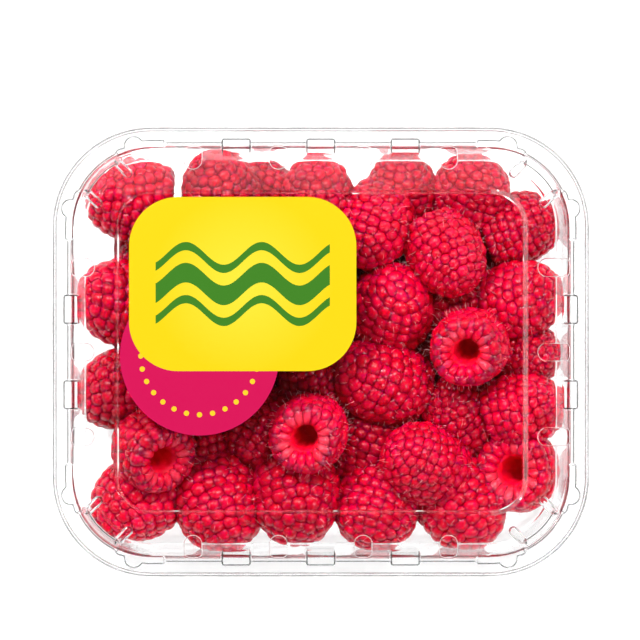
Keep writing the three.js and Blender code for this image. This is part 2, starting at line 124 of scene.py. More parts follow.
# The tray, in the same way
TRAY_RIM = 0.9
TRAY_LIP = 1.6
TRAY_WALL_TOP = 5.7
TRAY_WALL_FOOT = 8.2
TRAY_FOOT_EDGE = 9.4
TRAY_FOOT_BEND = {"inwards": 0.8, "up": 1.2}
TRAY_FOOT_INSIDE = 17
TRAY_PANEL_RISE = 1.2
TRAY_BENDS = (0.6, 0.9, 0.6, 0.6, 1, 0.8, 0.8, 0.6, 0.6, 0.2)
FLUTE_DEPTH = 0.9
FLUTE_FOOT = 4
FLUTE_TOP = 26

# The label: a rounded rectangle with a round tab at its lower left corner
LABEL_LENGTH = 60
LABEL_WIDTH = 46
LABEL_CORNER = 13
LABEL_CENTRE = (-20.6, 18)
LABEL_SHEET = 0.22
LABEL_LIFT = 0.05
TAB_RADIUS = 21
TAB_CENTRE = (-32, -1)

# Its print: waved bands by height and half-width, and a ring of dots on the tab
WAVE_LENGTH = 20
WAVE_HEIGHT = 3
BAND_REACH = 23
BANDS = ((7, 1.1), (0, 2.6), (-7, 1.1))
DOTS = 28
DOT_RING = 15.5
DOT_RADIUS = 0.7

# The fruit
BERRY_RADIUS = 10.3
BERRY_HEIGHT = 21
OPEN_END_WIDTH = 0.82
SHOULDER_AT = 0.38
TAPER_FROM = 0.3
TAPER_POWER = 2.6
SKIN_STEPS = 60

# How uneven a berry may be: its oval section, its bent axis and its fuller or slimmer tip
OVAL = 0.05
BEND = 0.8
FULLNESS = 0.1

# Its open end: the lip's height as a share of the berry's and its drop, and the hollow
# as radii and heights above the end
LIP_SHARE = 0.08
LIP_DROP = 1.7
LIP_STEP = 5
HOLE_RADIUS = 3.5
HOLE_DEPTH = 13
HOLLOW = ((1.6, HOLE_DEPTH - 0.4), (2.4, HOLE_DEPTH - 2), (2.9, 7), (3.2, 4), (3.6, 2))
RIDGES = 9
RIDGE_DEPTH = 0.05

# The flesh below the drupelets: its depth, its stretch along the skin and its tip
FLESH_DEPTH = 1.2
FLESH_START = 3.2
FLESH_END = 1.5
FLESH_STEP = 2.4
FLESH_SIDES = 27
FLESH_TIP = 1.7

# A berry's drupelets: how far apart in a row and from row to row, their half
# sizes as shares of that, and how high they stand
DRUPELET_PITCH = 3.1
ROW_PITCH = 2.55
DRUPELET_SPREAD = 0.74
DRUPELET_HEIGHT = 1.5
FIRST_ROW = 3
NARROWEST = 2.6
WIDEST = 3.4
ROW_OVERLAP = 1.08
RIM_DRUPELETS = 16
RIM_LOOSENESS = 0.4
RIM_SPREAD = {"round": 1.56, "radial": 2.8}
DOME_SIDES = 9
DOME_RINGS = 4
DOME_ANGLE = 112

# Hairs: their least and greatest length and lean, and their radii from the root up
HAIR_LENGTH = (0.7, 1.9)
HAIR_LEAN = (0.3, 1.1)
HAIR_ROOT = 0.1
HAIR_RADII = (0.034, 0.03, 0.024)
HAIRS_ON_DRUPELET = 2
HAIR_SCATTER = 0.8

# How the fruit settles: how near berries press to each other and the wall, how much
# of a push goes sideways, the pull back to a berry's own place, and the sinking
CLOSENESS = 0.8
WALL_CLOSENESS = 0.88
SIDEWAYS_SHARE = 0.5
HOME_PULL = 0.12
SINKING = 0.04
SETTLING_STEPS = 200

HALF_STRAIGHT_X = PACK_LENGTH / 2 - PACK_CORNER
HALF_STRAIGHT_Y = PACK_WIDTH / 2 - PACK_CORNER
HALF_STRAIGHT = np.array([HALF_STRAIGHT_X, HALF_STRAIGHT_Y])
TRAY_TOP = FLANGE_TOP - SHEET - GAP
FLOOR_TOP = TRAY_PANEL_RISE + SHEET
PANEL_TOP = FLANGE_TOP + LID_RISE + PANEL_RISE

# The room for the fruit: its ceiling and floor, as heights at distances inwards
LID_UNDERSIDE = FLANGE_TOP + LID_RISE - 0.6
CEILING = ((6.9, FLANGE_TOP - 0.6), (10.4, LID_UNDERSIDE), (PANEL_EDGE + 0.6, LID_UNDERSIDE),
           (PANEL_EDGE + 1.4, LID_UNDERSIDE + PANEL_RISE))
FLOOR = ((TRAY_FOOT_EDGE, 4), (TRAY_FOOT_EDGE + 1, FILM + 0.2),
         (TRAY_FOOT_INSIDE - 1, FILM + 0.2), (TRAY_FOOT_INSIDE + 1, FLOOR_TOP + 0.15))
WALL_GAP = 0.25

# The lump under the berries that show, standing for the fruit below, coloured near-black
# as painted shade: how far it keeps from the outline, its middle and height, how flat and
# square it is, and its lumps
CORE_MARGIN = 19
CORE_MIDDLE = 9.5
CORE_HEIGHT = 7
CORE_FLATNESS = 0.6
CORE_SQUARENESS = 4
CORE_LUMP = {"across": 4, "steepness": 1.4, "height": 1.6, "stretch": 1.6}
CORE_COLUMNS = 150
CORE_ROWS = 40

# Camera and framing: the photograph's width at the height of the rim
VIEW_WIDTH = 170
VIEW_CENTRE = (-0.2, 8.5)
CAMERA_HEIGHT = 1200
SENSOR = 36
FLOOR_RADIUS = 2500
FLOOR_SIDES = 96


# Camera, stage and light
def make_camera():
    data = bpy.data.cameras.new("camera")
    data.sensor_width = SENSOR
    data.lens = SENSOR * CAMERA_HEIGHT / VIEW_WIDTH
    data.clip_start = 0.05
    data.clip_end = 20
    camera = bpy.data.objects.new("camera", data)
    camera.location = Vector((*VIEW_CENTRE, FLANGE_TOP + CAMERA_HEIGHT)) * MM
    bpy.context.scene.collection.objects.link(camera)
    bpy.context.scene.camera = camera


def area_light(name, azimuth, elevation, distance, size, watts):
    data = bpy.data.lights.new(name, "AREA")
    data.shape = "DISK"
    data.size = size
    data.energy = watts
    light = bpy.data.objects.new(name, data)
    a, e = math.radians(azimuth), math.radians(elevation)
    way = Vector((math.cos(a) * math.cos(e), math.sin(a) * math.cos(e), math.sin(e)))
    light.location = way * distance
    light.rotation_mode = "QUATERNION"
    light.rotation_quaternion = way.to_track_quat("Z", "Y")
    bpy.context.scene.collection.objects.link(light)


def make_lights():
    area_light("key", 130, 48, 1.3, 0.07, 8.8)
    area_light("second_key", 72, 56, 1.3, 0.07, 7)
    area_light("fill", -35, 40, 1.4, 0.1, 5.4)
    area_light("side", 205, 36, 1.4, 0.2, 1.6)


def make_world():
    world = bpy.data.worlds.new("studio")
    world.use_nodes = True
    bpy.context.scene.world = world
    tree = world.node_tree
    coordinates = tree.nodes.new("ShaderNodeTexCoord")
    split = tree.nodes.new("ShaderNodeSeparateXYZ")
    ramp = tree.nodes.new("ShaderNodeValToRGB")
    low, high = ramp.color_ramp.elements
    low.color = (0.06, 0.06, 0.062, 1)
    high.position = 0.94
    high.color = (0.005, 0.005, 0.005, 1)
    ramp.color_ramp.elements.new(0.5).color = (0.1, 0.1, 0.102, 1)
    tree.links.new(coordinates.outputs["Generated"], split.inputs[0])
    tree.links.new(split.outputs["Z"], ramp.inputs[0])
    tree.links.new(ramp.outputs[0], tree.nodes["Background"].inputs["Color"])


def make_floor():
    ring = [(x, y, 0) for x, y in arc((0, 0), FLOOR_RADIUS, 0, 360, FLOOR_SIDES)[:-1]]
    floor = new_object("floor", ring, [tuple(range(FLOOR_SIDES))])
    floor.location.z = -0.0002
    material = new_material("floor_white")
    set_values(shader_of(material), {
        "Base Color": (0.7, 0.7, 0.7, 1), "Roughness": 0.9,
        "Emission Color": (1, 1, 1, 1), "Emission Strength": 0.68})
    floor.data.materials.append(material)


# Materials
def new_material(name):
    material = bpy.data.materials.new(name)
    material.use_nodes = True
    return material


def shader_of(material):
    return material.node_tree.nodes["Principled BSDF"]


def set_values(node, values):
    """Sets a node's own sockets, named in values."""
    for name, value in values.items():
        node.inputs[name].default_value = value


def add_node(material, kind, **values):
    node = material.node_tree.nodes.new(kind)
    for key, value in values.items():
        if key in node.inputs:
            node.inputs[key].default_value = value
        else:
            setattr(node, key, value)
    return node


def link(material, output, socket):
    material.node_tree.links.new(output, socket)


def noise(material, scale, detail=3.0):
    """Noise over the mesh's own coordinates, at so many cells a metre."""
    coordinates = add_node(material, "ShaderNodeTexCoord")
    texture = add_node(material, "ShaderNodeTexNoise", Scale=scale, Detail=detail)
    link(material, coordinates.outputs["Object"], texture.inputs["Vector"])
    return texture.outputs["Fac"]


def spread(material, value, low, high, start=0.3, end=0.7):
    """A value between start and end spread over low to high."""
    node = add_node(material, "ShaderNodeMapRange")
    set_values(node, {"From Min": start, "From Max": end, "To Min": low, "To Max": high})
    link(material, value, node.inputs["Value"])
    return node.outputs["Result"]


def mixed(material, share, first, second):
    """One colour turning into another; each is a colour or a socket."""
    node = add_node(material, "ShaderNodeMix", data_type="RGBA")
    for socket, value in ((node.inputs[6], first), (node.inputs[7], second)):
        if isinstance(value, tuple):
            socket.default_value = (*value, 1)
        else:
            link(material, value, socket)
    link(material, share, node.inputs[0])
    return node.outputs[2]


def add_bump(material, scale, strength, distance, detail=3.0):
    """Relief from noise, on top of any that the shader has."""
    node = add_node(material, "ShaderNodeBump", Strength=strength, Distance=distance)
    link(material, noise(material, scale, detail), node.inputs["Height"])
    normal = shader_of(material).inputs["Normal"]
    if normal.is_linked:
        link(material, normal.links[0].from_socket, node.inputs["Normal"])
    link(material, node.outputs["Normal"], normal)


def attribute(material, name):
    return add_node(material, "ShaderNodeAttribute", attribute_name=name).outputs["Fac"]


def clear_plastic(name, waves, clearness):
    """Thin clear thermoformed sheet, a little uneven, that lets lamps through. The
    rest of its clearness is a white haze."""
    material = new_material(name)
    shader = shader_of(material)
    set_values(shader, {
        "Base Color": (0.985, 0.99, 0.99, 1), "Transmission Weight": clearness, "IOR": 1.5})
    link(material, spread(material, noise(material, 60), 0.01, 0.06), shader.inputs["Roughness"])
    add_bump(material, waves, 0.25, 0.0004, 1)
    paths = add_node(material, "ShaderNodeLightPath")
    through = add_node(material, "ShaderNodeBsdfTransparent", Color=(0.985, 0.985, 0.985, 1))
    either = add_node(material, "ShaderNodeMixShader")
    output = material.node_tree.nodes["Material Output"]
    link(material, paths.outputs["Is Shadow Ray"], either.inputs[0])
    link(material, shader.outputs[0], either.inputs[1])
    link(material, through.outputs[0], either.inputs[2])
    link(material, either.outputs[0], output.inputs["Surface"])
    return material


def berry_flesh():
    """Juicy red skin with a fine pale down, paler on some drupelets than others, and darker on some
    berries: riper ones, and the lower ones as painted shade.
    """
    material = new_material("berry_flesh")
    shader = shader_of(material)
    tone = attribute(material, "drupelet_tone")
    berry_tone = attribute(material, "berry_tone")
    soft = mixed(material, tone, (0.48, 0.0, 0.012), (0.7, 0.0, 0.034))
    red = mixed(material, spread(material, tone, 0, 1, 1, 2), soft, (0.85, 0.12, 0.17))
    # whole berries darkened towards near-black red: by ripeness, and on the lower berries as painted shade
    ripe_and_shaded = mixed(material, spread(material, berry_tone, 0, 1, 0, 1.6), red, (0.2, 0.0, 0.006))
    patches = spread(material, noise(material, 900), 0, 0.4)
    link(material, mixed(material, patches, ripe_and_shaded, (0.66, 0.0, 0.034)), shader.inputs["Base Color"])
    set_values(shader, {
        "Subsurface Weight": 0.8, "Subsurface Radius": (1.0, 0.1, 0.1), "Subsurface Scale": 0.004,
        "Specular IOR Level": 0.32, "Sheen Weight": 0.02, "Sheen Roughness": 0.2,
        "Sheen Tint": (1, 0.35, 0.45, 1)})
    link(material, spread(material, noise(material, 2500), 0.13, 0.19), shader.inputs["Roughness"])
    add_bump(material, 1500, 0.06, 0.0003)
    return material


def berry_inside(name, dark, light):
    """The wetter flesh below the drupelets and in the hollow; given near-black colours, the core's painted
    shade.
    """
    material = new_material(name)
    shader = shader_of(material)
    shades = spread(material, noise(material, 500), 0, 1)
    link(material, mixed(material, shades, dark, light), shader.inputs["Base Color"])
    set_values(shader, {
        "Subsurface Weight": 0.6, "Subsurface Radius": (1.0, 0.08, 0.08),
        "Subsurface Scale": 0.004, "Specular IOR Level": 0.12, "Roughness": 0.5})
    add_bump(material, 1200, 0.3, 0.0003)
    return material


def berry_hair():
    """The fine pale hairs between the drupelets."""
    material = new_material("berry_hair")
    shader = shader_of(material)
    shades = spread(material, noise(material, 300), 0, 1)
    colour = mixed(material, shades, (0.85, 0.24, 0.3), (1.0, 0.56, 0.56))
    link(material, colour, shader.inputs["Base Color"])
    set_values(shader, {"Roughness": 0.5})
    return material


# Meshes
def facing_out(points, faces):
    """The faces of a closed shell, turned to point out of it."""
    points = np.asarray(points, float)
    volume = 0.0
    for face in faces:
        corners = points[list(face)]
        for k in range(1, len(face) - 1):
            volume += corners[0] @ np.cross(corners[k], corners[k + 1])
    return faces if volume > 0 else [tuple(reversed(face)) for face in faces]


def new_object(name, points, faces):
    """A mesh object from points in millimetres."""
    mesh = bpy.data.meshes.new(name)
    mesh.from_pydata((np.asarray(points, float) * MM).tolist(), [], faces)
    item = bpy.data.objects.new(name, mesh)
    bpy.context.scene.collection.objects.link(item)
    return item


def mesh_piece(name, points, faces, material, smooth=True):
    """A piece that rides on the pack."""
    piece = new_object(name, points, faces)
    if smooth:
        piece.data.shade_smooth()
    piece.data.materials.append(material)
    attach(piece, "root")
    return piece


def add_shell(points, faces, new_points, new_faces):
    """Adds one shell to the points and faces of a mesh of many."""
    start = len(points)
    faces.extend(tuple(i + start for i in face) for face in new_faces)
    points.extend(new_points)


def face_rows(rings, count):
    """Faces of a loft of rings, closed at each end by a fan about a point of its own;
    these two points come after the rings."""
    faces = []
    for k in range(rings - 1):
        for i in range(count):
            j = (i + 1) % count
            faces.append((k * count + i, k * count + j, (k + 1) * count + j, (k + 1) * count + i))
    centre, last = rings * count, (rings - 1) * count
    faces += [(centre, (i + 1) % count, i) for i in range(count)]
    faces += [(centre + 1, last + i, last + (i + 1) % count) for i in range(count)]
    return faces


def smooth_step(value, centre, blend):
    """0 below centre and 1 above it, turning over a stretch of blend."""
    share = np.clip((value - centre) / blend + 0.5, 0, 1)
    return share * share * (3 - 2 * share)


def plateau(value, low, high, blend):
    return smooth_step(value, low, blend) * (1 - smooth_step(value, high, blend))


def spaced(low, high, step):
    count = max(int(round((high - low) / step)), 1)
    return [low + (high - low) * i / count for i in range(count + 1)]


def side_stops(half, ribs, fine):
    """Places along a straight side, close together at the edges of its ribs and pads."""
    edges = [rib + end * RIB_WIDTH / 2 for rib in ribs for end in (-1, 1)]
    edges += [-half - PAD_START, half + PAD_START]
    stops = set(spaced(-half + 0.4, half - 0.4, 2.2))
    for edge in edges:
        stops.update(edge + offset for offset in spaced(-RIB_ROUND, RIB_ROUND, fine))
    return sorted(stop for stop in stops if abs(stop) < half - 0.1)


def stations(fine, corner_step):
    """Stations round the pack: the point that its ring turns about, the way out,
    how far it is inside a rib, and how far past the start of the nearest bend."""
    found = []
    end = (HALF_STRAIGHT_Y, HALF_STRAIGHT_X, SHORT_SIDE_RIBS)
    side = (HALF_STRAIGHT_X, HALF_STRAIGHT_Y, LONG_SIDE_RIBS)
    for turn, (half, other, ribs) in ((0, end), (90, side), (180, end), (270, side)):
        out = np.array([math.cos(math.radians(turn)), math.sin(math.radians(turn))])
        along = np.array([-out[1], out[0]])
        for place in side_stops(half, ribs, fine):
            in_rib = max(RIB_WIDTH / 2 - abs(place - rib) for rib in ribs)
            found.append((out * other + along * place, out, in_rib, abs(place) - half))
        bend = out * other + along * half
        for angle in spaced(0, 90, corner_step):
            way = math.radians(turn + angle)
            past = math.radians(min(angle, 90 - angle)) * CORNER_WALL_RADIUS
            found.append((bend, np.array([math.cos(way), math.sin(way)]), -RIB_WIDTH, past))
    return found


def unit(vectors):
    """Vectors made one long, those of no length left as they are."""
    return vectors / np.maximum(np.linalg.norm(vectors, axis=-1, keepdims=True), 1e-9)


def rounded(points, radii):
    """A profile with each inner bend rounded by a short curve."""
    points = np.asarray(points, float)
    result = [points[0]]
    for i in range(1, len(points) - 1):
        before, here, after = points[i - 1], points[i], points[i + 1]
        back, ahead = before - here, after - here
        reach = min(radii[i - 1], 0.48 * np.linalg.norm(back), 0.48 * np.linalg.norm(ahead))
        start, end = here + unit(back) * reach, here + unit(ahead) * reach
        for k in range(BEND_STEPS + 1):
            t = k / BEND_STEPS
            result.append((1 - t) ** 2 * start + 2 * t * (1 - t) * here + t * t * end)
    result.append(points[-1])
    return np.array(result)


def grid_normals(grid):
    """Normals of a closed grid of points, rings along the first axis."""
    along = np.roll(grid, -1, axis=1) - np.roll(grid, 1, axis=1)
    return unit(np.cross(along, np.gradient(grid, axis=0)))


def film_mesh(places, profile_at):
    """Points and faces of a thin sheet whose outer face follows a profile at every station."""
    rings = []
    for place in places:
        profile = profile_at(place)
        flat = place[0] + np.outer(PACK_CORNER - profile[:, 0], place[1])
        rings.append(np.column_stack((flat, profile[:, 1])))
    face = np.array(rings).transpose(1, 0, 2)
    inner = face - grid_normals(face) * FILM
    sheet = np.concatenate((face[::-1], inner))
    ends = np.array([[0, 0, sheet[0, 0, 2]], [0, 0, sheet[-1, 0, 2]]])
    points = np.concatenate((sheet.reshape(-1, 3), ends))
    return points, facing_out(points, face_rows(*sheet.shape[:2]))


# The lid
def lid_profile(place):
    """The lid's outer face, from the skirt's lower edge in to the middle panel."""
    _, _, in_rib, past = place
    rib = float(smooth_step(in_rib, 0, RIB_BLEND))
    rib_foot = math.sqrt(1 - (1 - min(max(in_rib / RIB_ROUND, 0), 1)) ** 2)
    corner = float(smooth_step(past, 0, CORNER_BLEND))
    plain = LID_WALL_FOOT + corner * (CORNER_WALL_FOOT - LID_WALL_FOOT)
    pad = float(plateau(past, PAD_START, PAD_END, PAD_BLEND))
    ledge = (plain - LEDGE_FOOT) * float(plateau(past, PAD_START, BULGE["centre"], PAD_BLEND))
    bulges = []
    for shape in (BULGE, LOBE):
        off_centre = (past - shape["centre"]) / shape["half"]
        bulges.append((plain - shape["foot"]) * math.sqrt(max(1 - off_centre ** 2, 0)))
    foot = plain - max(ledge, *bulges, rib_foot * (plain - RIB_FOOT))
    rise = SHELF_RISE + rib * (RIB_RISE - SHELF_RISE) + pad * (PAD_RISE - SHELF_RISE)
    lug = float(smooth_step(past, math.radians(LUG_ANGLE) * CORNER_WALL_RADIUS, LUG_BLEND))
    slope_foot = plain + SHELF_WIDTH
    slope = (LID_RISE - SHELF_RISE) / (SLOPE_TOP - slope_foot)
    shelf_end = min(slope_foot + (rise - SHELF_RISE) / slope, LUG_OUTSIDE)

    def step(inset):
        plain_rise = min(max(rise, SHELF_RISE + (inset - slope_foot) * slope), LID_RISE)
        return inset, FLANGE_TOP + plain_rise + lug * (LID_RISE + LUG_RISE - plain_rise)

    points = [(0, FLANGE_TOP - SKIRT_DROP), (SKIRT_LEAN, FLANGE_TOP), (foot, FLANGE_TOP),
              (foot + WALL_LEAN, FLANGE_TOP + rise), (shelf_end, FLANGE_TOP + rise),
              step(LUG_OUTSIDE + LUG_LEAN), step(SLOPE_TOP), step(LUG_INSIDE),
              (LUG_INSIDE + LUG_LEAN, FLANGE_TOP + LID_RISE),
              (PANEL_EDGE, FLANGE_TOP + LID_RISE), (PANEL_EDGE + PANEL_STEP, PANEL_TOP),
              (PANEL_EDGE + 2 * PANEL_STEP, PANEL_TOP), (PANEL_EDGE + 3 * PANEL_STEP, PANEL_TOP)]
    return rounded(points, LID_BENDS)


def prism(outline, low, high):
    """Points and faces of an upright prism over an outline."""
    count = len(outline)
    points = [(x, y, z) for z in (low, high) for x, y in outline]
    faces = [(i, (i + 1) % count, count + (i + 1) % count, count + i) for i in range(count)]
    faces += [tuple(range(count - 1, -1, -1)), tuple(range(count, 2 * count))]
    return points, facing_out(points, faces)


def arc(centre, radius, start, end, steps):
    turns = [math.radians(start + (end - start) * i / steps) for i in range(steps + 1)]
    return [(centre[0] + radius * math.cos(turn), centre[1] + radius * math.sin(turn))
            for turn in turns]


def turned(outline, angle, shift=(0, 0)):
    c, s = math.cos(math.radians(angle)), math.sin(math.radians(angle))
    return [(x * c - y * s + shift[0], x * s + y * c + shift[1]) for x, y in outline]


def vent_outline(half_pack, place, turn, length):
    half = VENT_WIDTH / 2
    start, end = half_pack - VENT_START, half_pack - VENT_START - length
    corner = VENT_OUTER_ROUND
    outline = arc((start - corner, half - corner + place), corner, 0, 90, 6)
    outline += arc((end + half, place), half, 90, 270, 18)
    outline += arc((start - corner, corner - half + place), corner, 270, 360, 6)
    return turned(outline, turn)


def vent_outlines():
    outlines = []
    for place in LONG_SIDE_VENTS:
        outlines += [vent_outline(PACK_WIDTH / 2, place, turn, VENT_LENGTH) for turn in (90, 270)]
    for place in SHORT_SIDE_VENTS:
        for turn, length in END_VENT_LENGTHS.items():
            outlines.append(vent_outline(PACK_LENGTH / 2, place, turn, length))
    return outlines


def tube(path, radius):
    """Points and faces of a thin round tube along a loop, which it touches from inside."""
    ahead = unit(np.roll(path, -1, axis=0) - np.roll(path, 1, axis=0))
    aside = unit(np.cross((0, 0, 1), ahead))
    upward = np.cross(ahead, aside)
    points, faces = [], []
    for i in range(len(path)):
        for k in range(ROLL_SIDES):
            turn = 2 * math.pi * k / ROLL_SIDES
            across = (radius + radius * math.cos(turn)) * aside[i]
            points.append(path[i] + across + radius * math.sin(turn) * upward[i])
            here, other = i * ROLL_SIDES, (i + 1) % len(path) * ROLL_SIDES
            nearby = (k + 1) % ROLL_SIDES
            faces.append((here + k, here + nearby, other + nearby, other + k))
    return points, facing_out(points, faces)


def vent_path(outline):
    """The loop of a vent's edge, on the lid's slope."""
    loop = np.array(outline + outline[:1])
    gone = np.concatenate(([0], np.cumsum(np.linalg.norm(np.diff(loop, axis=0), axis=1))))
    at = np.linspace(0, gone[-1], VENT_ROLL_STEPS, endpoint=False)
    flat = np.column_stack((np.interp(at, gone, loop[:, 0]), np.interp(at, gone, loop[:, 1])))
    slope = (LID_WALL_FOOT + SHELF_WIDTH, SLOPE_TOP)
    rise = np.interp(inset_of(flat[:, 0], flat[:, 1]), slope, (SHELF_RISE, LID_RISE))
    return np.column_stack((flat, FLANGE_TOP + rise - FILM / 2))


def rim_path(inset, height):
    """A loop round the pack at one height, so far inside its outline."""
    reach = PACK_CORNER - inset
    places = stations(fine=1, corner_step=3)
    return np.array([(*(place[0] + place[1] * reach), height) for place in places])


def rolled_edges(name, tubes, plastic, slot):
    """Cut edges of the thin sheet, rolled a little, as closed thin tubes."""
    points, faces = [], []
    for path, radius in tubes:
        add_shell(points, faces, *tube(path, radius))
    edges = mesh_piece(name, points, faces, plastic)
    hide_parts(slot)


def make_edges(lid_plastic, tray_plastic):
    lid_tubes = [(vent_path(outline), VENT_ROLL) for outline in vent_outlines()]
    lid_tubes.append((rim_path(0, FLANGE_TOP - SKIRT_DROP + RIM_ROLL), RIM_ROLL))
    rolled_edges("lid_edges", lid_tubes, lid_plastic, "lid")
    rim_foot = rim_path(TRAY_RIM, TRAY_TOP - TRAY_LIP + TRAY_ROLL)
    rolled_edges("tray_edge", [(rim_foot, TRAY_ROLL)], tray_plastic, "tray")


def finger_outlines(shrink):
    """The fingers at both ends of each corner's lug, parallel to the corner's diagonal."""
    outer, inner = PACK_CORNER - FINGER_ROOT - shrink, PACK_CORNER - FINGER_TIP + shrink
    half, length, middle = FINGER_WIDTH / 2 - shrink, (outer - inner) / 2, (outer + inner) / 2
    outline = [(length, -half), (length, half)] + arc((half - length, 0), half, 90, 270, 10)
    outlines = []
    for sign_x, sign_y in ((1, 1), (-1, 1), (-1, -1), (1, -1)):
        diagonal = math.degrees(math.atan2(sign_y, sign_x))
        corner = (sign_x * HALF_STRAIGHT_X, sign_y * HALF_STRAIGHT_Y)
        for lean in (-1, 1):
            apart = math.radians(lean * (45 - LUG_ANGLE))
            centre = (middle * math.cos(apart), middle * math.sin(apart))
            outlines.append(turned(turned(outline, 0, centre), diagonal, corner))
    return outlines


def prisms_object(name, outlines, low, high, edge_round=0):
    points, faces = [], []
    for outline in outlines:
        add_shell(points, faces, *prism(outline, low, high))
    item = new_object(name, points, faces)
    if edge_round:
        bevel = item.modifiers.new("bevel", "BEVEL")
        bevel.width = edge_round * MM
        bevel.segments = 4
    return item


def boolean(piece, other, operation):
    """Joins or cuts a piece with another mesh, which is then removed."""
    modifier = piece.modifiers.new("boolean", "BOOLEAN")
    modifier.operation = operation
    modifier.solver = "MANIFOLD"
    modifier.object = other
    bpy.context.view_layer.update()
    depsgraph = bpy.context.evaluated_depsgraph_get()
    mesh = bpy.data.meshes.new_from_object(piece.evaluated_get(depsgraph))
    piece.modifiers.clear()
    piece.data = mesh
    bpy.data.objects.remove(other)


def sharpen(piece, angle):
    piece.data.shade_smooth()
    piece.data.set_sharp_from_angle(angle=math.radians(angle))


def make_lid(plastic, step_painted_reflection, misted_plastic):
    """The lid, with a white haze on the panel's step at one end as a painted reflection, and a little
    misted along the far side.
    """
    points, faces = film_mesh(stations(fine=0.16, corner_step=1.2), lid_profile)
    lid = mesh_piece("clear_lid", points, faces, plastic)
    low, high = FLANGE_TOP + LID_RISE - FINGER_DEPTH, FLANGE_TOP + LID_RISE + LUG_RISE
    boolean(lid, prisms_object("fingers", finger_outlines(0), low, high, FINGER_ROUND), "UNION")
    hollows = prisms_object("hollows", finger_outlines(FILM), low - FINGER_DEPTH / 2, high - FILM,
                            FINGER_ROUND - FILM)
    boolean(lid, hollows, "DIFFERENCE")
    vents = prisms_object("vents", vent_outlines(), FLANGE_TOP + GAP, FLANGE_TOP + 2 * LID_RISE)
    boolean(lid, vents, "DIFFERENCE")
    lid.data.materials.clear()
    for material in (plastic, step_painted_reflection, misted_plastic):
        lid.data.materials.append(material)
    for face in lid.data.polygons:
        x, y, z = face.center / MM
        below_panel = z < PANEL_TOP - FILM - MIST_GAP
        in_step = float(inset_of(x, y)) > PANEL_EDGE - 2 * FILM and below_panel
        # the step at the right-hand end takes the second material, a white haze that is a painted
        # reflection
        if in_step and x > HALF_STRAIGHT_X:
            face.material_index = 1
        elif z > FLANGE_TOP + LID_RISE / 2 and y > PACK_WIDTH / 2 - PANEL_EDGE:
            face.material_index = 2
    sharpen(lid, 50)
    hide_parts("lid")


# The tray
def tray_wall_inset(z):
    return TRAY_WALL_FOOT + (TRAY_WALL_TOP - TRAY_WALL_FOOT) * z / TRAY_TOP


def tray_profile(place):
    """The tray's inner face, from its rim's lower edge in and down to the base."""
    flute = float(smooth_step(place[2], 0, 2 * RIB_BLEND)) * FLUTE_DEPTH
    points = [(TRAY_RIM, TRAY_TOP - TRAY_LIP), (TRAY_RIM, TRAY_TOP), (TRAY_WALL_TOP, TRAY_TOP),
              (tray_wall_inset(FLUTE_TOP + 1), FLUTE_TOP + 1),
              (tray_wall_inset(FLUTE_TOP) - flute, FLUTE_TOP),
              (tray_wall_inset(FLUTE_FOOT) - flute, FLUTE_FOOT),
              (TRAY_FOOT_EDGE - TRAY_FOOT_BEND["inwards"], SHEET + TRAY_FOOT_BEND["up"]),
              (TRAY_FOOT_EDGE, FILM), (TRAY_FOOT_INSIDE, FILM),
              (TRAY_FOOT_INSIDE + PANEL_STEP, FLOOR_TOP), (TRAY_FOOT_INSIDE + 2 * PANEL_STEP, FLOOR_TOP),
              (TRAY_FOOT_INSIDE + 3 * PANEL_STEP, FLOOR_TOP)]
    return rounded(points, TRAY_BENDS)


def make_tray(plastic):
    points, faces = film_mesh(stations(fine=0.3, corner_step=3), tray_profile)
    tray = mesh_piece("clear_tray", points, faces, plastic)
    sharpen(tray, 50)
    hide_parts("tray")


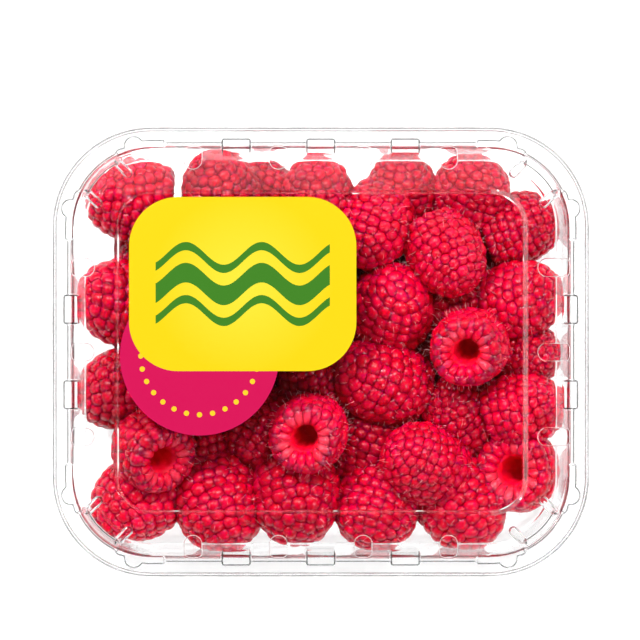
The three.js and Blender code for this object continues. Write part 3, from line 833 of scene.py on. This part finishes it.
# The label
def label_material():
    """Printed paper: a yellow field with a paler middle and green bands, and a magenta
    round field with a ring of small yellow dots."""
    material = new_material("printed_paper")
    shader = shader_of(material)
    coordinates = add_node(material, "ShaderNodeTexCoord")
    split = add_node(material, "ShaderNodeSeparateXYZ")
    link(material, coordinates.outputs["Object"], split.inputs[0])
    x, y = split.outputs["X"], split.outputs["Y"]

    def maths(operation, first, second=0.0, third=0.0):
        node = add_node(material, "ShaderNodeMath", operation=operation)
        for socket, value in zip(node.inputs, (first, second, third)):
            if isinstance(value, (int, float)):
                socket.default_value = value
            else:
                link(material, value, socket)
        return node.outputs[0]

    def length(across, up):
        return maths("SQRT", maths("ADD", maths("POWER", across, 2), maths("POWER", up, 2)))

    def from_centre(centre):
        return maths("SUBTRACT", x, centre[0] * MM), maths("SUBTRACT", y, centre[1] * MM)

    def inside(distance, edge):
        """1 where a distance is under an edge in millimetres."""
        return maths("LESS_THAN", distance, edge * MM)

    across, up = from_centre(LABEL_CENTRE)
    paler = spread(material, length(across, up), 1, 0, 0.002, 0.024)
    yellow = mixed(material, paler, (1.0, 0.72, 0.0), (1.0, 0.84, 0.04))
    phase = maths("MULTIPLY", across, 2 * math.pi / (WAVE_LENGTH * MM))
    waved = maths("SUBTRACT", up, maths("MULTIPLY", maths("SINE", phase), WAVE_HEIGHT * MM))
    inside_width = inside(maths("ABSOLUTE", across), BAND_REACH)
    bands = 0
    for height, half in BANDS:
        band = inside(maths("ABSOLUTE", maths("SUBTRACT", waved, height * MM)), half)
        bands = maths("MAXIMUM", bands, maths("MULTIPLY", band, inside_width))
    card = mixed(material, bands, yellow, (0.05, 0.235, 0.012))
    tab_x, tab_y = from_centre(TAB_CENTRE)
    turn = maths("PINGPONG", maths("ARCTAN2", tab_y, tab_x), math.pi / DOTS)
    off_ring = maths("SUBTRACT", length(tab_x, tab_y), DOT_RING * MM)
    in_dot = inside(length(maths("MULTIPLY", turn, DOT_RING * MM), off_ring), DOT_RADIUS)
    round_field = mixed(material, in_dot, (0.72, 0.0, 0.095), (1.0, 0.7, 0.02))
    beyond = [maths("MAXIMUM", maths("SUBTRACT", maths("ABSOLUTE", way), straight * MM), 0.0)
              for way, straight in ((across, LABEL_LENGTH / 2 - LABEL_CORNER),
                                    (up, LABEL_WIDTH / 2 - LABEL_CORNER))]
    on_card = inside(length(*beyond), LABEL_CORNER)
    link(material, mixed(material, on_card, round_field, card), shader.inputs["Base Color"])
    link(material, spread(material, noise(material, 700), 0.5, 0.66), shader.inputs["Roughness"])
    set_values(shader, {"Specular IOR Level": 0.2})
    add_bump(material, 2600, 0.12, 0.0002)
    add_bump(material, 45, 0.18, 0.0008, 1)
    return material


def card_outline():
    half_x, half_y = LABEL_LENGTH / 2 - LABEL_CORNER, LABEL_WIDTH / 2 - LABEL_CORNER
    card = []
    for sign_x, sign_y, start in ((1, -1, -90), (1, 1, 0), (-1, 1, 90), (-1, -1, 180)):
        centre = (LABEL_CENTRE[0] + sign_x * half_x, LABEL_CENTRE[1] + sign_y * half_y)
        card += arc(centre, LABEL_CORNER, start, start + 90, 20)
    return card


def make_label():
    low = PANEL_TOP + LABEL_LIFT
    high = low + LABEL_SHEET
    points, faces = prism(card_outline(), low, high)
    label = mesh_piece("label_sheet", points, faces, label_material(), smooth=False)
    tab = arc(TAB_CENTRE, TAB_RADIUS, 0, 360, 120)[:-1]
    boolean(label, prisms_object("tab", [tab], low, high), "UNION")
    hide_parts("label")


# The fruit: x, y, height before it settles, heading of the tip, lean up, size
LOW = 12.5
MID = 17
HIGH = 25
EDGE_BERRIES = [
    (-51.6, 40.8, LOW, 175, 5, 1.12), (-26.7, 43.3, MID, 110, 35, 1.06), (-15.5, 41.5, LOW, 60, 20, 1),
    (-1.1, 41.4, MID, 100, 35, 1.06), (21.7, 43.9, LOW, 90, 30, 1), (40.6, 44.4, LOW, 60, 35, 1.02),
    (55, 33.9, LOW, 20, 10, 1), (54.6, 13.8, 20, 10, 20, 1.04), (57.2, -0.6, MID, 350, 45, 0.9),
    (55.6, -15.2, 20, 15, 15, 1.02), (54.6, -31.8, 21, 345, -74, 1.1), (38, -44.4, 19, 300, 15, 1.2),
    (14.8, -42.6, 16, 250, 30, 1.14), (-6.7, -39.5, 15, 280, 40, 1.24), (-27.2, -41.8, 17, 290, 25, 1.22),
    (-50.4, -39, 14, 215, 20, 1.16), (-54.8, -10.6, 16, 190, 25, 1.18), (-54.6, 13.3, 16, 170, 30, 1.18),
]
LOWER_BERRIES = [
    (-46.1, 28.3, LOW, 120, 10, 0.98), (-26.7, 27.4, LOW, 60, 15, 1), (-7.8, 25.4, LOW, 20, 20, 1),
    (-37.8, 10.5, LOW, 210, 15, 1), (-18.9, 9.5, LOW, 330, 10, 1), (-1.1, 11.7, LOW, 300, 30, 1),
    (-37.8, -6.7, LOW, 100, 15, 1), (-20, -5.2, LOW, 40, 10, 1), (-32.5, -24, LOW, 100, 10, 0.98),
    (-2, -6.2, LOW, 130, 40, 1.02), (-16.7, -20, MID, 230, 30, 1.02), (12.8, -24.2, LOW, 70, 20, 0.98),
    (36.5, -16.7, MID, 120, 35, 1.04), (35, 11.8, LOW, 200, 15, 1),
]
UPPER_BERRIES = [
    (13.3, 32.7, HIGH, 240, 25, 1.04), (34.3, 25, HIGH, 300, 20, 1.06), (19.7, 12.6, HIGH, 60, 60, 1.16),
    (39.7, 2.4, HIGH, 60, -78, 1.04), (14.6, -7.4, HIGH, 160, 35, 1.18), (-3.6, -21.5, HIGH, 30, -80, 1.06),
    (26.7, -29.3, HIGH, 150, 35, 1.08), (-47, -26.2, HIGH, 135, -55, 1.06),
]
BERRIES = EDGE_BERRIES + LOWER_BERRIES + UPPER_BERRIES
# How light the drupelets are, up to 2, and how ripe and dark the berries are; the lower berries are darker
# still as painted shade
DRUPELET_TONES = (0, 1)
RIM_TONES = (0.8, 1.35)
RIPENESS = (0, 0.8)
# the lower berries' extra darkness is painted shade
LOWER_PAINTED_SHADE = (0.9, 1.6)
BERRY_PIECES = {"berries_back": (0, 9), "berries_front": (9, 18), "berries_lower": (18, 25),
                "berries_middle": (25, 32), "berries_upper": (32, 40)}
LOW_BERRIES = range(18, 32)


def berry_width(share):
    """A berry's half-width at a share of its height, from its open end to its tip."""
    widening = math.sin(min(share / SHOULDER_AT, 1) * math.pi / 2)
    shoulder = OPEN_END_WIDTH + (1 - OPEN_END_WIDTH) * widening
    past = max(share - TAPER_FROM, 0) / (1 - TAPER_FROM)
    return BERRY_RADIUS * shoulder * math.sqrt(max(1 - past ** TAPER_POWER, 0))


def inset_of(x, y):
    """How far points lie inside the pack's outline."""
    qx, qy = np.abs(x) - HALF_STRAIGHT_X, np.abs(y) - HALF_STRAIGHT_Y
    beyond = np.hypot(np.maximum(qx, 0), np.maximum(qy, 0))
    return PACK_CORNER - beyond - np.minimum(np.maximum(qx, qy), 0)


def open_end_reach(lean):
    angle = math.radians(lean)
    return berry_width(0) * math.cos(angle) + BERRY_HEIGHT / 2 * math.sin(angle)


def settled_berries():
    """The berries' middles, pushed apart until they only press on each other a little,
    each kept near its own place, on the floor and inside the tray."""
    places = np.array([row[:3] for row in BERRIES], float)
    homes = places[:, :2].copy()
    leans = [row[4] for row in BERRIES]
    sizes = np.array([row[5] for row in BERRIES])
    radii = BERRY_RADIUS * sizes
    below = sizes * [max(BERRY_RADIUS, open_end_reach(lean)) for lean in leans]
    above = sizes * [max(BERRY_RADIUS, open_end_reach(-lean)) for lean in leans]
    lows = FLOOR_TOP + GAP + below
    highs = FLANGE_TOP + LID_RISE - SHEET - 2 * GAP - above
    share = np.array([SIDEWAYS_SHARE, SIDEWAYS_SHARE, 1])
    for _ in range(SETTLING_STEPS):
        for i in range(len(places)):
            for j in range(i + 1, len(places)):
                way = places[j] - places[i]
                apart = math.sqrt(way @ way)
                push = max(CLOSENESS * (radii[i] + radii[j]) - apart, 0) / apart / 2
                if push > 0:
                    places[i] -= way * push * share
                    places[j] += way * push * share
        places[:, :2] += (homes - places[:, :2]) * HOME_PULL
        wall = tray_wall_inset(places[:, 2]) + GAP + WALL_CLOSENESS * radii
        short = np.maximum(wall - inset_of(places[:, 0], places[:, 1]), 0)
        flat = places[:, :2]
        flat -= np.where(np.abs(flat) > HALF_STRAIGHT, np.sign(flat) * short[:, None], 0)
        places[:, 2] = np.clip(places[:, 2] - SINKING, lows, highs)
    return places


def envelope():
    """A berry's skin as radius and height, from the hollow's lip round the open end to
    the tip, with the way out at each point and the length gone."""
    bottom = -BERRY_HEIGHT / 2
    outer = berry_width(LIP_SHARE)
    middle, half = (HOLE_RADIUS + outer) / 2, (outer - HOLE_RADIUS) / 2
    points = []
    for angle in range(180, 360, LIP_STEP):
        across, up = math.cos(math.radians(angle)), math.sin(math.radians(angle))
        points.append((middle + half * across, bottom + LIP_DROP + LIP_DROP * up))
    for i in range(SKIN_STEPS + 1):
        share = LIP_SHARE + (1 - LIP_SHARE) * math.sin(math.pi / 2 * i / SKIN_STEPS)
        points.append((berry_width(share), bottom + share * BERRY_HEIGHT))
    points = np.array(points)
    tangents = np.gradient(points, axis=0)
    outward = unit(np.column_stack((tangents[:, 1], -tangents[:, 0])))
    length = np.concatenate(([0], np.cumsum(np.linalg.norm(np.diff(points, axis=0), axis=1))))
    return points, outward, length


def dome():
    """A unit drupelet: points of a sphere cut off flat below, with its faces."""
    points = [(0, 0, 1)]
    for k in range(1, DOME_RINGS + 1):
        polar = math.radians(DOME_ANGLE * k / DOME_RINGS)
        flat = math.sin(polar)
        for i in range(DOME_SIDES):
            turn = 2 * math.pi * (i + 0.5 * (k % 2)) / DOME_SIDES
            points.append((flat * math.cos(turn), flat * math.sin(turn), math.cos(polar)))
    faces = [(0, 1 + i, 1 + (i + 1) % DOME_SIDES) for i in range(DOME_SIDES)]
    for k in range(DOME_RINGS - 1):
        a, b = 1 + k * DOME_SIDES, 1 + (k + 1) * DOME_SIDES
        for i in range(DOME_SIDES):
            j = (i + 1) % DOME_SIDES
            if k % 2:
                faces += [(a + i, b + i, b + j), (a + i, b + j, a + j)]
            else:
                faces += [(a + i, b + i, a + j), (a + j, b + i, b + j)]
    last = 1 + (DOME_RINGS - 1) * DOME_SIDES
    faces.append(tuple(range(last + DOME_SIDES - 1, last - 1, -1)))
    return np.array(points), faces


def drupelet_rows(random):
    """Each drupelet of one berry: its place on the skin as length and turn, its half
    sizes round the row and along the skin, and how loosely it keeps to its place."""
    points, _, length = envelope()
    coarseness = random.uniform(0.94, 1.08)
    pitch_round, pitch_along = DRUPELET_PITCH * coarseness, ROW_PITCH * coarseness
    rim = length[np.argmin(points[:180 // LIP_STEP, 1])]
    phase = random.uniform(0, 2 * math.pi)
    found = [(rim, phase + 2 * math.pi * i / RIM_DRUPELETS, RIM_SPREAD["round"],
              RIM_SPREAD["radial"], RIM_LOOSENESS) for i in range(RIM_DRUPELETS)]
    first = rim + FIRST_ROW
    rows = int((length[-1] - first) / pitch_along)
    for at in np.linspace(first, length[-1], rows + 1):
        radius = np.interp(at, length, points[:, 0])
        count = max(int(round(2 * math.pi * radius / pitch_round)), 1)
        pitch = 2 * math.pi * radius / count if count > 1 else pitch_round
        phase += math.pi / count + random.uniform(-0.06, 0.06)
        round_size = DRUPELET_SPREAD * max(min(pitch, WIDEST), NARROWEST)
        along_size = DRUPELET_SPREAD * pitch_along * ROW_OVERLAP
        for i in range(count):
            found.append((at, phase + 2 * math.pi * i / count, round_size, along_size, 1))
    return found


def berry_model(random):
    """One berry about its own middle, its tip up: drupelets as points, faces and tones,
    and their tops with the way out, for the hairs."""
    skin, outward, length = envelope()
    dome_points, dome_faces = dome()
    points, faces, tones, tops = [], [], [], []
    for at, turn, round_size, along_size, loose in drupelet_rows(random):
        size = 1 + loose * random.uniform(-0.12, 0.12)
        at = at + loose * random.normal(0, 0.2)
        turn = turn + loose * random.normal(0, 0.03)
        radius, z = np.interp(at, length, skin[:, 0]), np.interp(at, length, skin[:, 1])
        out_r, out_z = np.interp(at, length, outward[:, 0]), np.interp(at, length, outward[:, 1])
        c, s = math.cos(turn), math.sin(turn)
        normal = unit(np.array([out_r * c, out_r * s, out_z]) + loose * random.normal(0, 0.05, 3))
        row_way = np.array([-s, c, 0])
        row_way = unit(row_way - normal * (row_way @ normal))
        along = np.cross(normal, row_way)
        depth = DRUPELET_HEIGHT * size - loose * random.normal(0, 0.12)
        centre = np.array([radius * c, radius * s, z]) - normal * depth
        sizes = np.array([round_size, along_size, DRUPELET_HEIGHT]) * size
        axes = np.array([row_way, along, normal]) * sizes[:, None]
        add_shell(points, faces, (dome_points @ axes + centre).tolist(), dome_faces)
        tone = random.uniform(*(RIM_TONES if loose < 1 else DRUPELET_TONES))
        tones += [tone] * len(dome_points)
        tops.append((centre + normal * sizes[2], normal))
    return np.array(points), faces, tones, tops


def body_model():
    """The flesh below the drupelets, with the hollow that the core left."""
    skin, outward, length = envelope()
    bottom = -BERRY_HEIGHT / 2
    profile = [(radius, bottom + height) for radius, height in HOLLOW]
    stops = spaced(FLESH_START, length[-1] - FLESH_END, FLESH_STEP)
    profile += [tuple(skin[k] - FLESH_DEPTH * outward[k]) for k in np.searchsorted(length, stops)]
    points = []
    for k, (radius, z) in enumerate(profile):
        ridge = RIDGE_DEPTH if k < len(HOLLOW) else 0
        for i in range(FLESH_SIDES):
            turn = 2 * math.pi * i / FLESH_SIDES
            reach = radius * (1 + ridge * math.cos(RIDGES * turn))
            points.append((reach * math.cos(turn), reach * math.sin(turn), z))
    points += [(0, 0, bottom + HOLE_DEPTH), (0, 0, BERRY_HEIGHT / 2 - FLESH_TIP)]
    return np.array(points), facing_out(points, face_rows(len(profile), FLESH_SIDES))


def uneven(points, random_values):
    """A berry's own shape: an oval section, a bent axis and a fuller or slimmer tip."""
    oval, bend_x, bend_y, fuller = random_values
    share = points[:, 2] / BERRY_HEIGHT
    width = 1 + fuller * share
    moved = points.copy()
    moved[:, 0] = points[:, 0] * width * (1 + oval) + bend_x * share ** 2 * 4
    moved[:, 1] = points[:, 1] * width * (1 - oval) + bend_y * share ** 2 * 4
    return moved


def axis_turn(angle, first, second):
    """Turns by an angle from the first axis towards the second."""
    c, s = math.cos(math.radians(angle)), math.sin(math.radians(angle))
    matrix = np.eye(3)
    matrix[[first, second], [first, second]] = c
    matrix[second, first], matrix[first, second] = s, -s
    return matrix


def turn_matrix(heading, lean, spin):
    """Spins a berry about its axis, then lays its tip down and turns it to its heading."""
    return axis_turn(heading, 0, 1) @ axis_turn(90 - lean, 2, 0) @ axis_turn(spin, 0, 1)


def inside_room(points):
    """Points pressed back inside the shut pack where they would pass through its plastic."""
    moved = points.copy()
    inset = inset_of(moved[:, 0], moved[:, 1])
    floor, ceiling = (np.interp(inset, *zip(*heights)) for heights in (FLOOR, CEILING))
    moved[:, 2] = np.clip(moved[:, 2], floor, ceiling)
    short = np.maximum(tray_wall_inset(moved[:, 2]) + WALL_GAP - inset, 0)
    flat = moved[:, :2]
    flat -= unit(flat - np.clip(flat, -HALF_STRAIGHT, HALF_STRAIGHT)) * short[:, None]
    return moved


def hair(start, way, random):
    """A fine hair that bends over, as a thin pointed tube."""
    length = random.uniform(*HAIR_LENGTH)
    aside = unit(np.cross(way, random.normal(0, 1, 3)))
    across = np.cross(way, aside)
    lean = random.uniform(*HAIR_LEAN)
    path = [start - way * HAIR_ROOT + (way * t + aside * lean * t * t) * length
            for t in (0, 0.35, 0.7, 1)]
    points = []
    for step, radius in zip(path, HAIR_RADII):
        for i in range(3):
            turn = 2 * math.pi * i / 3
            points.append(step + radius * (aside * math.cos(turn) + across * math.sin(turn)))
    points.append(path[3])
    faces = [(2, 1, 0)]
    for k in (0, 3):
        for i in range(3):
            j = (i + 1) % 3
            faces += [(k + i, k + j, k + 3 + j), (k + i, k + 3 + j, k + 3 + i)]
    faces += [(6 + i, 6 + (i + 1) % 3, 9) for i in range(3)]
    return points, faces


def set_tones(piece, name, tones):
    layer = piece.data.attributes.new(name, "FLOAT", "POINT")
    layer.data.foreach_set("value", np.asarray(tones, np.float32))


def make_berries():
    random = np.random.default_rng(SEED)
    flesh = berry_flesh()
    inside = berry_inside("berry_inside", (0.62, 0.0, 0.014), (0.8, 0.0, 0.028))
    places = settled_berries()
    body_points, body_faces = body_model()
    hair_points, hair_faces = [], []
    for name, (first, last) in BERRY_PIECES.items():
        points, faces, tones, berry_tones, materials = [], [], [], [], []
        for k in range(first, last):
            heading, lean, size = BERRIES[k][3:]
            own = (random.uniform(-OVAL, OVAL), *random.uniform(-BEND, BEND, 2),
                   random.uniform(-FULLNESS, FULLNESS))
            turn = turn_matrix(heading, lean, random.uniform(0, 360))
            drupelets, drupelet_faces, drupelet_tones, tops = berry_model(random)
            whole = np.concatenate((uneven(drupelets, own), uneven(body_points, own)))
            whole = inside_room(whole * size @ turn.T + places[k])
            # how dark each berry is: ripeness on most, painted shade on the lower berries
            ripeness_and_shade = random.uniform(*(LOWER_PAINTED_SHADE if k in LOW_BERRIES else RIPENESS))
            berry_tones += [ripeness_and_shade] * len(whole)
            add_shell(points, faces, whole[:len(drupelets)].tolist(), drupelet_faces)
            add_shell(points, faces, whole[len(drupelets):].tolist(), body_faces)
            materials += [0] * len(drupelet_faces) + [1] * len(body_faces)
            tones += drupelet_tones + [0.5] * len(body_points)
            for top, way in tops:
                for _ in range(random.integers(0, HAIRS_ON_DRUPELET + 1)):
                    foot = top + np.cross(way, random.normal(0, HAIR_SCATTER, 3))
                    foot = uneven(foot[None], own) * size @ turn.T + places[k]
                    root = inside_room(foot)[0]
                    add_shell(hair_points, hair_faces, *hair(root, turn @ way, random))
        piece = mesh_piece(name, points, faces, flesh)
        piece.data.materials.append(inside)
        piece.data.polygons.foreach_set("material_index", materials)
        set_tones(piece, "drupelet_tone", tones)
        set_tones(piece, "berry_tone", berry_tones)
        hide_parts("raspberries")
    mesh_piece("berry_hairs", inside_room(np.array(hair_points)), hair_faces, berry_hair())


def make_core():
    """A lump in the middle of the heap, under the berries that show, standing for the fruit below; its
    near-black red is painted shade.
    """
    half_x, half_y = PACK_LENGTH / 2 - CORE_MARGIN, PACK_WIDTH / 2 - CORE_MARGIN
    points = []
    for k in range(CORE_ROWS):
        polar = math.pi * (k + 1) / (CORE_ROWS + 1)
        for i in range(CORE_COLUMNS):
            turn = 2 * math.pi * i / CORE_COLUMNS
            flat = math.sin(polar)
            way = Vector((math.cos(turn) * flat, math.sin(turn) * flat, math.cos(polar)))
            square = abs(way.x) ** CORE_SQUARENESS + abs(way.y) ** CORE_SQUARENESS
            reach = way.xy.length / max(square, 1e-9) ** (1 / CORE_SQUARENESS) * way.xy.length
            rise = CORE_HEIGHT / 2 * math.copysign(abs(way.z) ** CORE_FLATNESS, way.z)
            place = Vector((way.x * reach * half_x, way.y * reach * half_y, CORE_MIDDLE + rise))
            nearness = cell_noise.voronoi(place / CORE_LUMP["across"])[0][0]
            lump = 1 - min(nearness * CORE_LUMP["steepness"], 1)
            push = Vector((way.x, way.y, way.z * CORE_LUMP["stretch"]))
            points.append(place + push * (lump * CORE_LUMP["height"]))
    points += [(0, 0, CORE_MIDDLE + CORE_HEIGHT / 2), (0, 0, CORE_MIDDLE - CORE_HEIGHT / 2)]
    points = np.array([tuple(point) for point in points])
    faces = facing_out(points, face_rows(CORE_ROWS, CORE_COLUMNS))
    # near-black red on the core: painted shade in the deep gaps between berries
    shadowed = berry_inside("berry_core_painted_shade", (0.14, 0.0, 0.002), (0.22, 0.0, 0.004))
    core = mesh_piece("berry_core", points, faces, shadowed)
    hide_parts("raspberries")


bpy.context.scene.view_settings.view_transform = "Standard"
make_camera()
make_world()
make_lights()
make_floor()
make_berries()
make_core()
tray_plastic = clear_plastic("tray_plastic", 90, 0.995)
make_tray(tray_plastic)
lid_plastic = clear_plastic("lid_plastic", 110, 1)
# a white haze on the panel's step at one end: a painted reflection
step_painted_reflection = clear_plastic("step_painted_reflection", 110, 0.93)
make_lid(lid_plastic, step_painted_reflection, clear_plastic("misted_plastic", 110, 0.985))
make_edges(lid_plastic, tray_plastic)
make_label()
